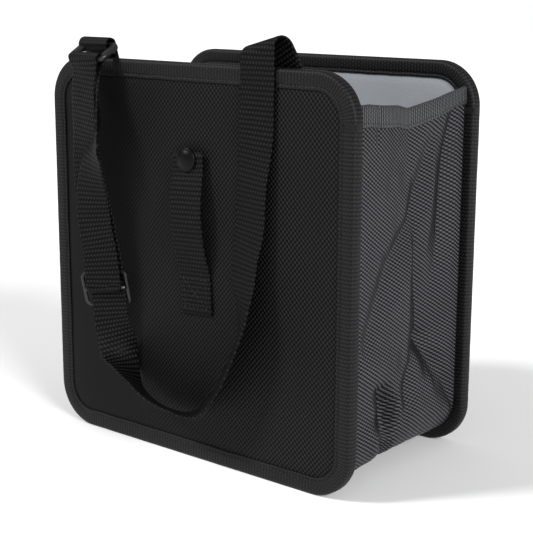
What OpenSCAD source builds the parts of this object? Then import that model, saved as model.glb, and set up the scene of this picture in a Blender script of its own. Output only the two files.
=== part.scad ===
// Open-topped tote bag for garden tools: two stiff bound panels joined by a soft gusset,
// an adjustable carry strap of webbing, and a belt loop that closes with a snap fastener.
// Millimetres. X runs along the panels, Y from the front panel to the rear one, Z up.
// The origin is the middle of the front panel's bottom edge, on the surface the bag stands on.

/* [Panels] */
// Width of each stiff panel, over its binding
panel_w = 245; // [200:1:320]
// Height of each stiff panel, over its binding
panel_h = 250; // [220:1:340]
// Radius of the panel corners
corner_r = 28; // [18:1:40]
// Depth of the open bag, over both panels
bag_depth = 135; // [90:1:200]
// Thickness of the stiff board inside a panel
board_t = 5; // [3:0.5:8]
// Thickness of the woven outer fabric
fabric_t = 0.8; // [0.5:0.1:1.5]
// Thickness of the coated lining
lining_t = 0.6; // [0.4:0.1:1.2]

/* [Binding] */
// Width of the binding tape on each face
binding_w = 11; // [8:0.5:16]
// Thickness of the binding tape
binding_t = 1.2; // [0.8:0.1:2]
// Distance from the inner edge of the tape to its seam
seam_margin = 2; // [1:0.5:4]
// Width of a seam's thread
thread_w = 0.7; // [0.4:0.1:1]
// Height that a thread stands above the cloth
thread_h = 0.3; // [0.2:0.1:0.5]

/* [Gusset] */
// Distance from a panel's edge in to the gusset
gusset_inset = 6; // [3:0.5:12]
// Distance from the panels' top edge down to the gusset's top edge
gusset_drop = 20; // [12:1:50]
// Thickness of the gusset fabric
gusset_t = 0.8; // [0.5:0.1:1.5]
// Height of the folded hem on the gusset's top edge
hem_h = 14; // [8:1:20]
// Thickness of one layer of the hem
hem_t = 0.8; // [0.5:0.1:1.5]

/* [Webbing] */
// Width of the strap webbing
webbing_w = 25; // [20:1:32]
// Thickness of the strap webbing
webbing_t = 1.4; // [1:0.1:2]
// Height of an anchor tab below the panel's top edge
tab_h = 28; // [20:1:40]

/* [Ring and slider] */
// Radius of the strap ring's bars
ring_bar_r = 2; // [1.5:0.1:3]
// Distance between the ring's upper and lower bars, centre to centre
ring_pitch = 16; // [14:0.5:24]
// Lean of the ring over the panel's edge, from horizontal
ring_lean = 30; // [20:1:45]
// Height of the slider along the strap
slider_h = 21; // [18:0.5:28]
// Radius of the slider's bars
slider_bar_r = 1.3; // [1:0.1:2]
// Distance along the straight leg from its top to the slider
slider_drop = 100; // [40:1:100]

/* [Belt loop] */
// Length of the sewn-down foot
foot_l = 26; // [20:1:35]
// Distance from the flap's hinge line up to the snap
snap_l = 70.5; // [50:0.5:80]
// Length of the flap above the snap's cap, cap centre to tip
flap_tip = 9; // [9:0.5:14]
// Distance that the flap bows off the panel
flap_bow = 5.5; // [4.5:0.5:9]
// Lean of the belt loop from upright
loop_lean = 3; // [0:0.5:5]
// Diameter of the snap's cap
cap_d = 15; // [12:0.5:18]
// Height of the snap's cap
cap_h = 3; // [2:0.1:4]
// Diameter of the snap's stud head
stud_d = 5.4; // [4:0.1:7]

/* [Clearances] */
// Gap between pieces of different bodies
gap = 0.3; // [0.2:0.05:0.5]
// Gap on each side of webbing in a ring or slider
side_gap = 1; // [0.5:0.1:2]

/* [Hidden] */
$fn = 48;
rim_t = board_t + fabric_t + lining_t + 2 * binding_t;
front_y = -rim_t / 2;
front_in_y = rim_t / 2;
rear_in_y = bag_depth - 1.5 * rim_t;
face_y = front_y + binding_t;
lay_y = front_in_y + thread_h;
gusset_top = panel_h - gusset_drop;
seam_inset = binding_w - seam_margin;

// distance from the binding's face out to the middle of webbing that lies against it
strap_out = webbing_t / 2 + 2 * gap;
// the strap's arch over the rim; its axis is the hinge line, through the ring's upper bar
arch_front = front_y - strap_out;
arch_rear = lay_y + webbing_t / 2;
bend_r = (arch_rear - arch_front) / 2;
axis_y = arch_rear - bend_r;
axis_z = panel_h + 7.5;
// the ring's lower bar
low_y = axis_y - ring_pitch * cos(ring_lean);
low_z = axis_z - ring_pitch * sin(ring_lean);
left_x = -78.5;
wrap_r = ring_bar_r + gap / 3 + webbing_t / 2;
eye_r = ring_bar_r + gap;
// how far the webbing runs straight down from the ring before it turns
ring_drop = 12;
ring_in_w = webbing_w + 2 * side_gap;

// straight leg of the strap: its upper and lower ends and its turn about its own length
leg_top = [-78, front_y - 7, panel_h - 46];
leg_end = [-62.5, front_y - 10, panel_h - 155];
leg_turn = 14;
leg_dir = (leg_end - leg_top) / norm(leg_end - leg_top);
// outer edge of the strap dips below its inner edge at the bottom of the loop
edge_dip = 0.2;

// the strap's route from the leg to the right end: out from the front face, down from the top, turn;
// the distances out are for webbing of route_w
route_w = 25;
right_route = [
    [-57, 11, 165, 22], [-50, 11.5, 179, 38], [-39, 12, 196, 55], [-26, 12.5, 208, 70],
    [-9, 13, 215, 82], [9, 13, 215.5, 90], [21, 13, 210, 97], [34, 12.5, 196, 104],
    [44, 11.5, 180, 112], [50, 10, 163, 122], [52, 8, 146, 136], [51, 6, 130, 150],
    [50.5, 4, 112, 164], [51, 2.6, 92, 174], [52.5, 2, 70, 180], [53.5, 1.6, 40, 180],
    [54, strap_out, 12, 180], [54, strap_out, 0, 180]
];
bend_x = 54;
anchor_x = 64;
anchor_lean = 20;
// share of the webbing's width taken up by a box of stitching
anchor_box = 0.64;
loop_box = 0.76;
box_margin = 3;

// sizes across the slider, measured out from its outer bars
run_out = slider_bar_r + gap + webbing_t / 2;
center_bar_r = slider_bar_r;
center_out = run_out + 1.5 * webbing_t + gap + center_bar_r;
leg_gap = center_out + center_bar_r + webbing_t / 2 - run_out;

// belt loop
loop_x = 4;
loop_z = panel_h - 128;
loop_y = face_y - webbing_t;
socket_h = 2.5;
socket_floor_t = 0.5;
stud_base_h = 0.6;
stud_h = 2.2;
stud_head_h = 0.8;
post_d = 3;
washer_d = 11;
washer_t = 1;
// distance from the panel's face to the flap's inner face at the snap
snap_rise = stud_base_h + gap + socket_h;
// the flap's bow ends here and its flat end begins
flat_h = snap_l - cap_d / 2 - gap;
flap_l = snap_l + flap_tip;
fine = 96;

// rounded outline of a panel, drawn in by the given inset
module outline(inset) {
    w = panel_w - 2 * inset;
    h = panel_h - 2 * inset;
    r = corner_r - inset;
    translate([-w / 2 + r, inset]) square([w - 2 * r, h]);
    translate([-w / 2, inset + r]) square([w, h - 2 * r]);
    for (x = [-w / 2 + r, w / 2 - r], z = [inset + r, inset + h - r])
        translate([x, z]) circle(r);
}

// the outline as a plate between two depths
module plate(inset, y0, y1) {
    translate([0, y1, 0]) rotate([90, 0, 0]) linear_extrude(y1 - y0) outline(inset);
}

// tape folded round a panel's edge, from depth y0 to y1
module bound_edge(y0, y1) {
    difference() {
        plate(0, y0, y1);
        plate(binding_t, y0 + binding_t, y1 - binding_t);
        plate(binding_w, y0 - 1, y1 + 1);
    }
}

// one seam line round a panel, from depth y0 to y1
module seam_loop(y0, y1) {
    difference() {
        plate(seam_inset, y0, y1);
        plate(seam_inset + thread_w, y0 - 1, y1 + 1);
    }
}

// turns what is drawn for the front panel round to face the rear
module rear_side() {
    translate([0, front_in_y + rear_in_y, 0]) mirror([0, 1, 0]) children();
}

module front_board() {
    y0 = face_y + fabric_t;
    color("dimgray") difference() {
        plate(binding_t, y0, y0 + board_t);
        at_snap() rotate([-90, 0, 0]) cylinder(d = washer_d + gap, h = fabric_t + washer_t + gap);
    }
}

module front_fabric() {
    color("#202022") difference() {
        plate(binding_t, face_y, face_y + fabric_t);
        at_snap() rotate([90, 0, 0]) cylinder(d = post_d + gap, h = 4, center = true);
    }
}

module front_lining() {
    y0 = face_y + fabric_t + board_t;
    color("silver") plate(binding_t, y0, y0 + lining_t);
}

module front_binding() {
    color("#1a1a1a") bound_edge(front_y, front_in_y);
}

module front_binding_thread() {
    color("#161616") {
        seam_loop(front_y - thread_h, front_y);
        seam_loop(front_in_y, front_in_y + thread_h);
    }
}

module rear_board() {
    y0 = face_y + fabric_t;
    color("dimgray") rear_side() plate(binding_t, y0, y0 + board_t);
}

module rear_fabric() {
    color("#202022") rear_side() plate(binding_t, face_y, face_y + fabric_t);
}

module rear_lining() {
    rear_side() front_lining();
}

module rear_binding() {
    rear_side() front_binding();
}

module rear_binding_thread() {
    rear_side() front_binding_thread();
}

// outline of the soft walls: round at the bottom corners, straight up to the open top
module wall_outline(inset, top) {
    w = panel_w - 2 * inset;
    r = corner_r - inset;
    translate([-w / 2 + r, inset]) square([w - 2 * r, top - inset]);
    translate([-w / 2, inset + r]) square([w, top - inset - r]);
    for (x = [-w / 2 + r, w / 2 - r]) translate([x, inset + r]) circle(r);
}

// soft wall between the panels, open at the top, between two insets
module wall(outer, inner) {
    translate([0, rear_in_y - gap, 0]) rotate([90, 0, 0])
        linear_extrude(rear_in_y - gap - front_in_y) difference() {
            wall_outline(outer, gusset_top);
            wall_outline(inner, panel_h);
        }
}

module gusset() {
    color("#3a3a3e") wall(gusset_inset, gusset_inset + gusset_t);
}

module gusset_lining() {
    color("silver") wall(gusset_inset + gusset_t, gusset_inset + gusset_t + lining_t);
}

// tape folded over the gusset's top edge on the right side
module side_hem() {
    cloth_t = gusset_t + lining_t;
    x0 = panel_w / 2 - gusset_inset - cloth_t;
    depth = rear_in_y - gap - front_in_y;
    color("#4a4a4e") translate([x0, front_in_y, gusset_top - hem_h]) difference() {
        translate([-hem_t, 0, 0]) cube([cloth_t + 2 * hem_t, depth, hem_h + hem_t]);
        translate([0, -1, -1]) cube([cloth_t, depth + 2, hem_h + 1]);
    }
}

module right_hem() {
    side_hem();
}

module left_hem() {
    mirror([1, 0, 0]) side_hem();
}

module hem_thread() {
    x = panel_w / 2 - gusset_inset + hem_t;
    depth = rear_in_y - gap - front_in_y;
    color("#2c2c30") for (side = [0, 1])
        mirror([side, 0, 0]) translate([x, front_in_y, gusset_top - hem_h + seam_margin])
            cube([thread_h, depth, thread_w]);
}

function unit(v) = v / norm(v);

// width direction of the webbing: square to its path, turned about it
function across(dir, turn) =
    let (v = [-cos(turn), -sin(turn), -edge_dip * abs(sin(turn))])
    unit(v - (v * dir) * dir);

function path_dir(path, i) =
    unit([for (k = [0:2]) path[min(i + 1, len(path) - 1)][k] - path[max(i - 1, 0)][k]]);

function band_corners(path, i) =
    let (
        dir = path_dir(path, i),
        side = across(dir, path[i][3]) * webbing_w / 2,
        face = unit(cross(side, dir)) * webbing_t / 2,
        p = [path[i][0], path[i][1], path[i][2]]
    )
    [p + side + face, p - side + face, p - side - face, p + side - face];

// webbing swept along a path of points, each with its turn
module band(path) {
    last = len(path) - 1;
    rings = [for (i = [0:last]) each band_corners(path, i)];
    sides = [
        for (i = [0:last - 1], k = [0:3])
            let (a = 4 * i + k, b = 4 * i + (k + 1) % 4)
            each [[a, b, b + 4], [a, b + 4, a + 4]]
    ];
    ends = [[3, 2, 1, 0], [4 * last, 4 * last + 1, 4 * last + 2, 4 * last + 3]];
    polyhedron(rings, concat(sides, ends));
}

// points of an arc of webbing about a line along X
function arc_points(x, y, z, r, a0, a1, step, turn) =
    [for (a = [a0:step:a1]) [x, y + r * cos(a), z + r * sin(a), turn]];

function from_face(p) =
    let (out = strap_out + (p[1] - strap_out) * webbing_w / route_w)
    [p[0], front_y - out, panel_h - p[2], p[3]];

// strap from the top of the ring's lower bar, down its rear side, round the loop and up to the rim
module carry_strap() {
    over_bar = arc_points(left_x, low_y, low_z, wrap_r, 90, 0, -18, 0);
    leg = [
        [left_x, low_y + wrap_r, low_z - ring_drop, 2],
        concat(leg_top - leg_dir * ring_drop, leg_turn - 3),
        concat(leg_top, leg_turn),
        concat(leg_end, leg_turn)
    ];
    color("#222222") band(concat(over_bar, leg, [for (p = right_route) from_face(p)]));
}

// strap from the top of the ring's lower bar down its front side to the slider
module return_leg() {
    out = unit(cross(across(leg_dir, leg_turn), leg_dir)) * leg_gap;
    over_bar = arc_points(left_x, low_y, low_z, wrap_r, 90, 180, 18, 0);
    leg = [
        [left_x, low_y - wrap_r, low_z - ring_drop, 2],
        concat(leg_top + out, leg_turn),
        concat(leg_top + out + leg_dir * (slider_drop - gap), leg_turn)
    ];
    color("#222222") band(concat(over_bar, leg));
}

// flexing stretch of the strap that arches over the rim, slanting across to the anchor
module strap_bend() {
    outer_r = bend_r + webbing_t / 2;
    inner_r = bend_r - webbing_t / 2;
    foot_z = panel_h + gap;
    drop = axis_z - foot_z;
    half_w = webbing_w / 2;
    color("#222222") intersection() {
        translate([0, axis_y, axis_z]) rotate([90, 0, 90]) linear_extrude(panel_w / 2) difference() {
            union() {
                circle(outer_r);
                translate([-outer_r, -drop]) square([2 * outer_r, drop]);
            }
            circle(inner_r);
            translate([-inner_r, -2 * drop]) square([2 * inner_r, 2 * drop]);
        }
        translate([0, 0, foot_z]) linear_extrude(2 * (drop + outer_r)) polygon([
            [bend_x - half_w, axis_y - outer_r], [bend_x + half_w, axis_y - outer_r],
            [anchor_x + half_w, axis_y + outer_r], [anchor_x - half_w, axis_y + outer_r]
        ]);
    }
}

// webbing tab sewn inside the front panel, with an eye round the ring's upper bar
module left_anchor_tab() {
    outer_r = eye_r + webbing_t;
    link = [lay_y + webbing_t - axis_y, panel_h - axis_z];
    color("#222222") translate([left_x - webbing_w / 2, 0, 0]) difference() {
        union() {
            translate([0, lay_y, panel_h - tab_h]) cube([webbing_w, 2 * webbing_t, tab_h]);
            translate([0, axis_y, axis_z]) rotate([0, 90, 0]) cylinder(r = outer_r, h = webbing_w);
            translate([0, axis_y, axis_z]) rotate([atan2(link[1], link[0]), 0, 0])
                translate([0, 0, -webbing_t]) cube([webbing_w, norm(link), 2 * webbing_t]);
        }
        translate([-1, axis_y, axis_z]) rotate([0, 90, 0]) cylinder(r = eye_r, h = webbing_w + 2);
    }
}

module at_right_anchor() {
    translate([anchor_x, lay_y, panel_h]) rotate([0, -anchor_lean, 0]) children();
}

// end of the strap sewn inside the front panel
module right_anchor_tab() {
    color("#222222") intersection() {
        at_right_anchor() translate([-webbing_w / 2, 0, -tab_h]) cube([webbing_w, webbing_t, 2 * tab_h]);
        cube([panel_w, bag_depth, panel_h]);
    }
}

// a box of stitching with a cross in it
module box_stitch(w, h) {
    across_w = w - thread_w;
    up_h = h - thread_w;
    diagonal = norm([across_w, up_h]);
    slant = atan2(across_w, up_h);
    for (x = [-w / 2, w / 2 - thread_w]) translate([x, 0, 0]) cube([thread_w, thread_h, h]);
    for (z = [0, up_h]) translate([-w / 2, 0, z]) cube([w, thread_h, thread_w]);
    for (a = [-slant, slant]) translate([0, 0, h / 2]) rotate([0, a, 0])
        translate([-thread_w / 2, 0, -diagonal / 2]) cube([thread_w, thread_h, diagonal]);
}

module anchor_stitches() {
    size = webbing_w * anchor_box;
    drop = tab_h - box_margin;
    color("#161616") {
        translate([left_x, lay_y + 2 * webbing_t, panel_h - drop]) box_stitch(size, size);
        at_right_anchor() translate([0, webbing_t, -drop]) box_stitch(size, size);
    }
}

// rectangular ring: true round bars with ball corners, leaning over the rim
module strap_ring() {
    half = ring_in_w / 2 + ring_bar_r;
    color("#3c3d40") translate([left_x, axis_y, axis_z]) rotate([ring_lean, 0, 0]) {
        for (y = [0, -ring_pitch])
            translate([-half, y, 0]) rotate([0, 90, 0]) cylinder(r = ring_bar_r, h = 2 * half);
        for (x = [-half, half]) {
            translate([x, 0, 0]) rotate([90, 0, 0]) cylinder(r = ring_bar_r, h = ring_pitch);
            for (y = [0, -ring_pitch]) translate([x, y, 0]) sphere(ring_bar_r);
        }
    }
}

// local frame of the slider: X across the webbing, Y out from the panel, Z up the leg
module at_slider() {
    p = leg_top + leg_dir * slider_drop;
    side = across(leg_dir, leg_turn);
    out = unit(cross(side, leg_dir));
    multmatrix([
        [side[0], out[0], -leg_dir[0], p[0]],
        [side[1], out[1], -leg_dir[1], p[1]],
        [side[2], out[2], -leg_dir[2], p[2]],
        [0, 0, 0, 1]
    ]) children();
}

// three-bar slider: the strap runs between the outer bars and the raised middle bar
module strap_slider() {
    r = slider_bar_r;
    half = ring_in_w / 2 + r;
    z = slider_h / 2 - r;
    mid_y = center_out - run_out;
    color("#2a2b2d") at_slider() {
        for (s = [-1, 1]) {
            translate([-half, -run_out, s * z]) rotate([0, 90, 0]) cylinder(r = r, h = 2 * half);
            translate([s * half, -run_out, -z]) cylinder(r = r, h = 2 * z);
            for (t = [-1, 1]) translate([s * half, -run_out, t * z]) sphere(r);
            translate([s * half - r, -run_out, -2 * r]) cube([2 * r, center_out, 4 * r]);
        }
        translate([-half, mid_y, 0]) rotate([0, 90, 0]) cylinder(r = center_bar_r, h = 2 * half);
    }
}

// end of the webbing sewn round the slider's middle bar
module strap_end_loop() {
    outer_r = center_bar_r + webbing_t;
    w = webbing_w;
    color("#222222") at_slider() translate([0, center_out - run_out, 0]) difference() {
        rotate([0, 90, 0]) cylinder(r = outer_r, h = w, center = true);
        rotate([0, 90, 0]) cylinder(r = center_bar_r, h = 2 * w, center = true);
        translate([-w, 0, 0]) cube([2 * w, 2 * outer_r, 2 * outer_r]);
    }
}

// local frame of the belt loop: origin on the flap's hinge line, at the webbing's outer face
module at_loop() {
    translate([loop_x, loop_y, loop_z]) rotate([0, -loop_lean, 0]) children();
}

// the panel's face, at the snap
module at_snap() {
    at_loop() translate([0, webbing_t, snap_l]) children();
}

module loop_foot() {
    color("#262626") at_loop() translate([-webbing_w / 2, 0, -foot_l])
        cube([webbing_w, webbing_t, foot_l - webbing_t - gap]);
}

module loop_stitches() {
    color("#161616") at_loop() translate([0, -thread_h, box_margin - foot_l])
        box_stitch(webbing_w * loop_box, foot_l - 2 * box_margin);
}

// distance of the flap's inner face from the panel at height h: it bows out, then lies flat at the snap
function flap_out(h) =
    let (t = min(1, h / flat_h))
    gap + (snap_rise - gap) * t + flap_bow * sin(180 * t);

// free end of the loop, with a round bead on its hinge line
module loop_flap() {
    steps = 24;
    heights = [for (i = [0:steps]) flat_h * i / steps, flap_l];
    inner = [for (h = heights) [webbing_t - flap_out(h), h]];
    outer = [for (i = [len(heights) - 1:-1:0]) [-flap_out(heights[i]), heights[i]]];
    color("#262626") at_loop() difference() {
        union() {
            translate([-webbing_w / 2, 0, 0]) rotate([90, 0, 90]) linear_extrude(webbing_w)
                polygon(concat(inner, outer));
            rotate([0, 90, 0]) cylinder(d = webbing_t, h = webbing_w, center = true);
        }
        translate([0, 0, snap_l]) rotate([90, 0, 0]) cylinder(d = post_d, h = webbing_w, center = true);
    }
}

// snap parts, from the panel's face outwards
module snap_stud() {
    color("#1c1c1e") at_snap() rotate([90, 0, 0]) {
        translate([0, 0, -fabric_t]) cylinder(d = post_d, h = fabric_t);
        cylinder(d = washer_d, h = stud_base_h);
        cylinder(d = stud_d - stud_head_h, h = stud_h);
        translate([0, 0, stud_h - stud_head_h]) cylinder(d = stud_d, h = stud_head_h);
    }
}

module stud_washer() {
    color("gray") at_snap() translate([0, fabric_t, 0]) rotate([-90, 0, 0])
        cylinder(d = washer_d, h = washer_t);
}

module snap_socket() {
    color("#1c1c1e") at_snap() rotate([90, 0, 0])
        translate([0, 0, snap_rise - socket_h]) difference() {
            cylinder(d = washer_d, h = socket_h);
            translate([0, 0, -1]) cylinder(d = stud_d + 2 * gap, h = socket_h - socket_floor_t + 1);
        }
}

// domed cap, with its rivet through the webbing
module snap_cap() {
    r = ((cap_d / 2) ^ 2 + cap_h ^ 2) / (2 * cap_h);
    color("#1c1c1e") at_snap() rotate([90, 0, 0]) translate([0, 0, snap_rise]) {
        cylinder(d = post_d, h = webbing_t);
        translate([0, 0, webbing_t]) intersection() {
            cylinder(d = cap_d, h = cap_h);
            translate([0, 0, cap_h - r]) sphere(r, $fn = fine);
        }
    }
}

front_board();
front_fabric();
front_lining();
front_binding();
front_binding_thread();
rear_board();
rear_fabric();
rear_lining();
rear_binding();
rear_binding_thread();
gusset();
gusset_lining();
left_hem();
right_hem();
hem_thread();
left_anchor_tab();
right_anchor_tab();
anchor_stitches();
strap_ring();
carry_strap();
strap_bend();
return_leg();
strap_slider();
strap_end_loop();
loop_foot();
loop_stitches();
snap_stud();
stud_washer();
loop_flap();
snap_socket();
snap_cap();
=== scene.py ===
import math
import bmesh
import bpy
from mathutils import Matrix, Vector, noise


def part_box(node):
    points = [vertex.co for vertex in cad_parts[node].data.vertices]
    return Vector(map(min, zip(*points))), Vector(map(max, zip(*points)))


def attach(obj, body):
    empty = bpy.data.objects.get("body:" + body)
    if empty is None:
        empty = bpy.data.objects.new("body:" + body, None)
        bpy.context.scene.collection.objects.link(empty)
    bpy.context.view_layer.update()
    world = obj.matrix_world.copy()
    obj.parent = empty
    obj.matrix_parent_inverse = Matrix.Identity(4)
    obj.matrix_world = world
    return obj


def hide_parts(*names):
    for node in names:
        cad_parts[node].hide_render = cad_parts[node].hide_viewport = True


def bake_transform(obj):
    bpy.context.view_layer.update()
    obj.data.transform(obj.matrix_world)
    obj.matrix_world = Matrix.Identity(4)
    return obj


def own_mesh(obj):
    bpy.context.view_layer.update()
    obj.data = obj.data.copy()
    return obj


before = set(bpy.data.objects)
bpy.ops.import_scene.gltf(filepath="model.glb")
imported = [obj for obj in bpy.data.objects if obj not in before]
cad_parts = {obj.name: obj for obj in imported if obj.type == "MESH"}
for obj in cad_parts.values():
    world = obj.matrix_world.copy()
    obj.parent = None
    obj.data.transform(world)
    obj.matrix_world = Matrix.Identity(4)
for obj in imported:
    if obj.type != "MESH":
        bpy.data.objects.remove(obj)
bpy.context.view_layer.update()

mm = 0.001


camera = dict(place=(0.52133, -0.56934, 0.29876), forward=(-0.61665, 0.75582, -0.22017), roll=0.24, lens=85.85,
              sensor=36)


def makeCamera():
    forward = Vector(camera["forward"]).normalized()
    level = forward.cross(Vector((0, 0, 1))).normalized()
    above = level.cross(forward)
    roll = math.radians(camera["roll"])
    right = level * math.cos(roll) + above * math.sin(roll)
    up = right.cross(forward)
    turn = Matrix((right, up, -forward)).transposed().to_4x4()
    data = bpy.data.cameras.new("mainCamera")
    data.lens = camera["lens"]
    data.sensor_width = camera["sensor"]
    data.clip_start = 0.01
    data.clip_end = 50
    eye = bpy.data.objects.new("mainCamera", data)
    eye.matrix_world = Matrix.Translation(camera["place"]) @ turn
    bpy.context.collection.objects.link(eye)
    bpy.context.scene.camera = eye


makeCamera()
print("camera ready")


# nodes and colours
def hexLinear(code):
    parts = [int(code[i:i + 2], 16) / 255 for i in (1, 3, 5)]
    return tuple(c / 12.92 if c <= 0.04045 else ((c + 0.055) / 1.055) ** 2.4 for c in parts) + (1,)


def addNode(tree, kind, sockets=None, **settings):
    node = tree.nodes.new(kind)
    for name, value in settings.items():
        setattr(node, name, value)
    for key, value in (sockets or {}).items():
        if isinstance(value, bpy.types.NodeSocket):
            tree.links.new(value, node.inputs[key])
        else:
            node.inputs[key].default_value = value
    return node


def startMaterial(name, **shader):
    material = bpy.data.materials.new(name)
    material.use_nodes = True
    tree = material.node_tree
    tree.nodes.clear()
    surface = addNode(tree, "ShaderNodeBsdfPrincipled", shader)
    addNode(tree, "ShaderNodeOutputMaterial", {"Surface": surface.outputs[0]})
    return material, tree, surface


def sharedHeight(tree, *parts):
    # heights added up, each times its share
    total = 0.0
    for height, share in parts:
        total = addNode(tree, "ShaderNodeMath", {0: height, 1: share, 2: total}, operation="MULTIPLY_ADD").outputs[0]
    return total


def ribHeight(tree, along, pitch):
    turn = addNode(tree, "ShaderNodeMath", {0: along, 1: 2 * math.pi / pitch}, operation="MULTIPLY").outputs[0]
    return addNode(tree, "ShaderNodeMath", {0: turn}, operation="COSINE").outputs[0]


def weaveHeight(tree, u, v, pitchU, pitchV, lean=0.0):
    # floats of yarn in offset rows, one cell of pitchU by pitchV holds two of them;
    # with lean they join up into falling diagonals
    a, b = (addNode(tree, "ShaderNodeMath", {0: place, 1: 2 * math.pi / pitch}, operation="MULTIPLY").outputs[0]
            for place, pitch in ((u, pitchU), (v, pitchV)))
    parts = []
    for operation, share in (("SUBTRACT", 0.5 + lean), ("ADD", 0.5 - lean)):
        turn = addNode(tree, "ShaderNodeMath", {0: a, 1: b}, operation=operation).outputs[0]
        parts.append((addNode(tree, "ShaderNodeMath", {0: turn}, operation="COSINE").outputs[0], share))
    return sharedHeight(tree, *parts)


def finishSurface(tree, surface, amount, low, high, height, strength, depth):
    # colour from low to high by the amount, and relief from the height, its depth in mm
    mix = addNode(tree, "ShaderNodeMix", {0: amount, 6: hexLinear(low), 7: hexLinear(high)}, data_type="RGBA")
    bump = addNode(tree, "ShaderNodeBump", {"Height": height, "Strength": strength, "Distance": depth * mm})
    tree.links.new(mix.outputs[2], surface.inputs["Base Color"])
    tree.links.new(bump.outputs[0], surface.inputs["Normal"])


def finishCloth(tree, surface, place, height, low, high, spread, strength, depth, patch=0.25, patchSize=18.0):
    # low in the gaps, high on the yarns, with a slow change of tone over the cloth
    amount = addNode(tree, "ShaderNodeMapRange", {"Value": height, "From Min": spread[0], "From Max": spread[1]},
                     interpolation_type="SMOOTHSTEP").outputs[0]
    cloud = addNode(tree, "ShaderNodeTexNoise", {"Vector": place, "Scale": patchSize, "Detail": 3.0}).outputs[0]
    tone = addNode(tree, "ShaderNodeMapRange", {"Value": cloud, "To Min": 1 - patch, "To Max": 1 + patch}).outputs[0]
    finishSurface(tree, surface, sharedHeight(tree, (amount, tone)), low, high, height, strength, depth)


# pitches of the cloths' patterns
clothes = dict(
    ballisticPitch=(3.0 * mm, 3.4 * mm),
    oxfordPitch=(3.9 * mm, 2.45 * mm),
    webRib=2.85 * mm,
    webYarn=2.3 * mm,
    tapeRib=2.3 * mm,
    hemRib=1.7 * mm,
)


def makeBallisticNylon():
    # 1680 denier ballistic nylon, plain woven from thick yarns: matt black with rows of small raised floats.
    # Its yarns are about 1 mm, too fine to show, so the pitch is three yarns.
    material, tree, surface = startMaterial("ballisticNylon", **{"Roughness": 0.6, "Specular IOR Level": 0.1})
    place = addNode(tree, "ShaderNodeTexCoord").outputs["Object"]
    axes = addNode(tree, "ShaderNodeSeparateXYZ", {0: place})
    height = weaveHeight(tree, axes.outputs[0], axes.outputs[2], *clothes["ballisticPitch"])
    # painted highlight by place, the weave glinting more to the right as if lit from there, to suit the main view; no
    # known property of the cloth
    paintedGlint = addNode(tree, "ShaderNodeMapRange", {"Value": axes.outputs[0], "From Min": -0.1, "From Max": 0.11,
                                                 "To Min": 0.12, "To Max": 2.1}).outputs[0]
    height = sharedHeight(tree, (height, paintedGlint))
    finishCloth(tree, surface, place, height, "#010101", "#232324", (-0.7, 1.3), 0.55, 0.25)
    return material


def makeOxfordNylon():
    # coated 1680 denier oxford, washed-out dark grey, glossier than the panels; the weave follows the cloth
    material, tree, surface = startMaterial("oxfordNylon", **{"Roughness": 0.5, "Specular IOR Level": 0.1})
    cloth = addNode(tree, "ShaderNodeUVMap", uv_map="cloth").outputs[0]
    axes = addNode(tree, "ShaderNodeSeparateXYZ", {0: cloth})
    height = weaveHeight(tree, axes.outputs[0], axes.outputs[1], *clothes["oxfordPitch"], 0.14)
    # painted shade by facing, the cloth turned towards the rear drawn duller as if in shade, to suit the main view;
    # no known property of the cloth
    facing = addNode(tree, "ShaderNodeTexCoord").outputs["Normal"]
    turned = addNode(tree, "ShaderNodeSeparateXYZ", {0: facing}).outputs[1]
    paintedShade = addNode(tree, "ShaderNodeMapRange", {"Value": turned, "From Min": 0.05, "From Max": 0.32,
                                                 "To Min": 1.0, "To Max": 0.12}).outputs[0]
    raised = addNode(tree, "ShaderNodeMath", {0: height, 1: 0.3}, operation="ADD").outputs[0]
    height = addNode(tree, "ShaderNodeMath", {0: raised, 1: paintedShade, 2: -0.3}, operation="MULTIPLY_ADD").outputs[0]
    finishCloth(tree, surface, cloth, height, "#060607", "#525256", (-0.5, 0.95), 0.6, 0.3)
    return material


def makeLiningFilm():
    # PU-coated silver-grey polyester: smooth, faintly pebbled, soft sheen
    material, tree, surface = startMaterial("liningFilm", **{"Roughness": 0.48})
    place = addNode(tree, "ShaderNodeTexCoord").outputs["Object"]
    cloud = addNode(tree, "ShaderNodeTexNoise", {"Vector": place, "Scale": 14.0, "Detail": 4.0}).outputs[0]
    pebble = addNode(tree, "ShaderNodeTexNoise", {"Vector": place, "Scale": 700.0, "Detail": 2.0}).outputs[0]
    height = sharedHeight(tree, (pebble, 1.0), (cloud, 6.0))
    finishSurface(tree, surface, cloud, "#8b8f94", "#a1a5aa", height, 0.25, 0.4)
    return material


def makeRibbedTape(name, low, high, rib, rough):
    # nylon grosgrain: cross ribs about a millimetre apart, drawn at about two so that they show
    material, tree, surface = startMaterial(name, **{"Roughness": rough, "Specular IOR Level": 0.2})
    cloth = addNode(tree, "ShaderNodeUVMap", uv_map="cloth").outputs[0]
    axes = addNode(tree, "ShaderNodeSeparateXYZ", {0: cloth})
    height = weaveHeight(tree, axes.outputs[0], axes.outputs[1], 2.4 * mm, rib * 2)
    height = sharedHeight(tree, (ribHeight(tree, axes.outputs[1], rib), 0.65), (height, 0.35))
    finishCloth(tree, surface, cloth, height, low, high, (-0.6, 0.9), 0.5, 0.2, 0.4, 45.0)
    return material


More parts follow.
